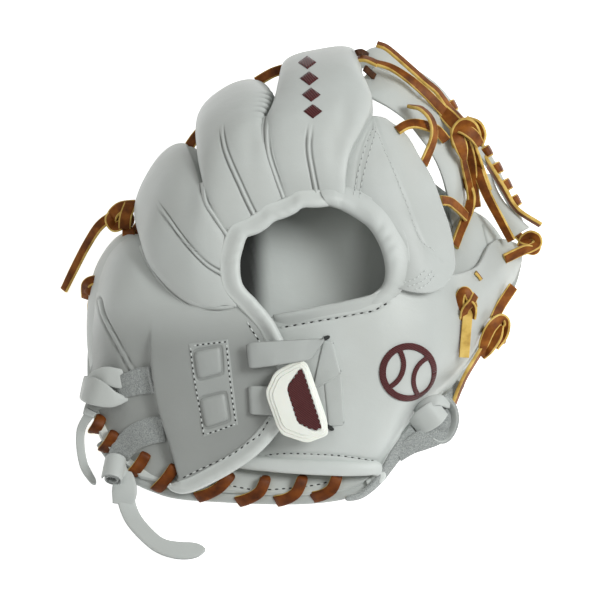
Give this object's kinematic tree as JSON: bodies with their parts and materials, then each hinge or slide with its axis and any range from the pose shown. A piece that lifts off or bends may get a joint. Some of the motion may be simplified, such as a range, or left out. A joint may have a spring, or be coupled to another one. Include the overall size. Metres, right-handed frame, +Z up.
{
  "type": "softball glove",
  "caption": "Fielder's glove for the left hand: padded palm, curled finger stalls, laced web, wrist strap with a pull tab.",
  "frame": {"origin": "on the table, under the middle of the glove's box", "axes": "+Z up from the table, +Y from the heel towards the fingertips, +X towards the thumb"},
  "size_m": [0.2465, 0.2647, 0.1017],
  "materials": {
    "leather": "smooth pale grey leather",
    "palm_leather": "matt pale grey leather",
    "suede": "brushed grey suede",
    "rawhide": "tan lacing with a yellow flesh side",
    "pull_rubber": "satin white",
    "insert": "ribbed dark maroon"
  },
  "bodies": {
    "root": {"back_flap": "leather", "crotch_lace_high": "rawhide", "crotch_lace_low": "rawhide", "crotch_panel": "leather", "heel_lace_1": "rawhide", "heel_lace_2": "rawhide", "heel_lace_3": "rawhide", "heel_lace_4": "rawhide", "heel_lace_5": "rawhide", "heel_lace_6": "rawhide", "heel_lace_7": "rawhide", "heel_lace_8": "rawhide", "heel_roll": "leather", "hole_roll": "leather", "index_stall": "leather", "lower_strap": "suede", "lower_thong": "suede", "lower_thong_knot": "suede", "lower_thong_tail": "suede", "middle_stall": "leather", "middle_tip_lace": "rawhide", "palm": "palm_leather", "pinky_far_knot": "rawhide", "pinky_far_tail": "rawhide", "pinky_near_knot": "rawhide", "pinky_near_tail": "rawhide", "pinky_stall": "leather", "pinky_tip_lace": "rawhide", "pull_tab": "pull_rubber", "ring_stall": "leather", "ring_tip_lace": "rawhide", "strap_anchor": "suede", "tab_insert": "insert", "thumb_back": "leather", "thumb_knot": "rawhide", "thumb_lace_tail": "rawhide", "thumb_side_knot": "rawhide", "thumb_side_lace": "rawhide", "thumb_thin_lace": "rawhide", "thumb_thong_knot": "suede", "thumb_thong_tail": "suede", "thumb_tip_knot": "rawhide", "thumb_tip_tail": "rawhide", "upper_strap": "suede", "upper_thong": "suede", "upper_thong_knot": "suede", "upper_thong_tail": "suede", "web_band": "leather", "web_drop_lace": "rawhide", "web_knot": "rawhide", "web_lace_post": "rawhide", "web_lace_side": "rawhide", "web_post": "leather", "web_tail_long": "rawhide", "web_tail_short": "rawhide", "web_thin_lace": "rawhide", "web_top": "leather", "window_patch": "leather", "wrist_roll": "leather"}
  },
  "joints": []
}
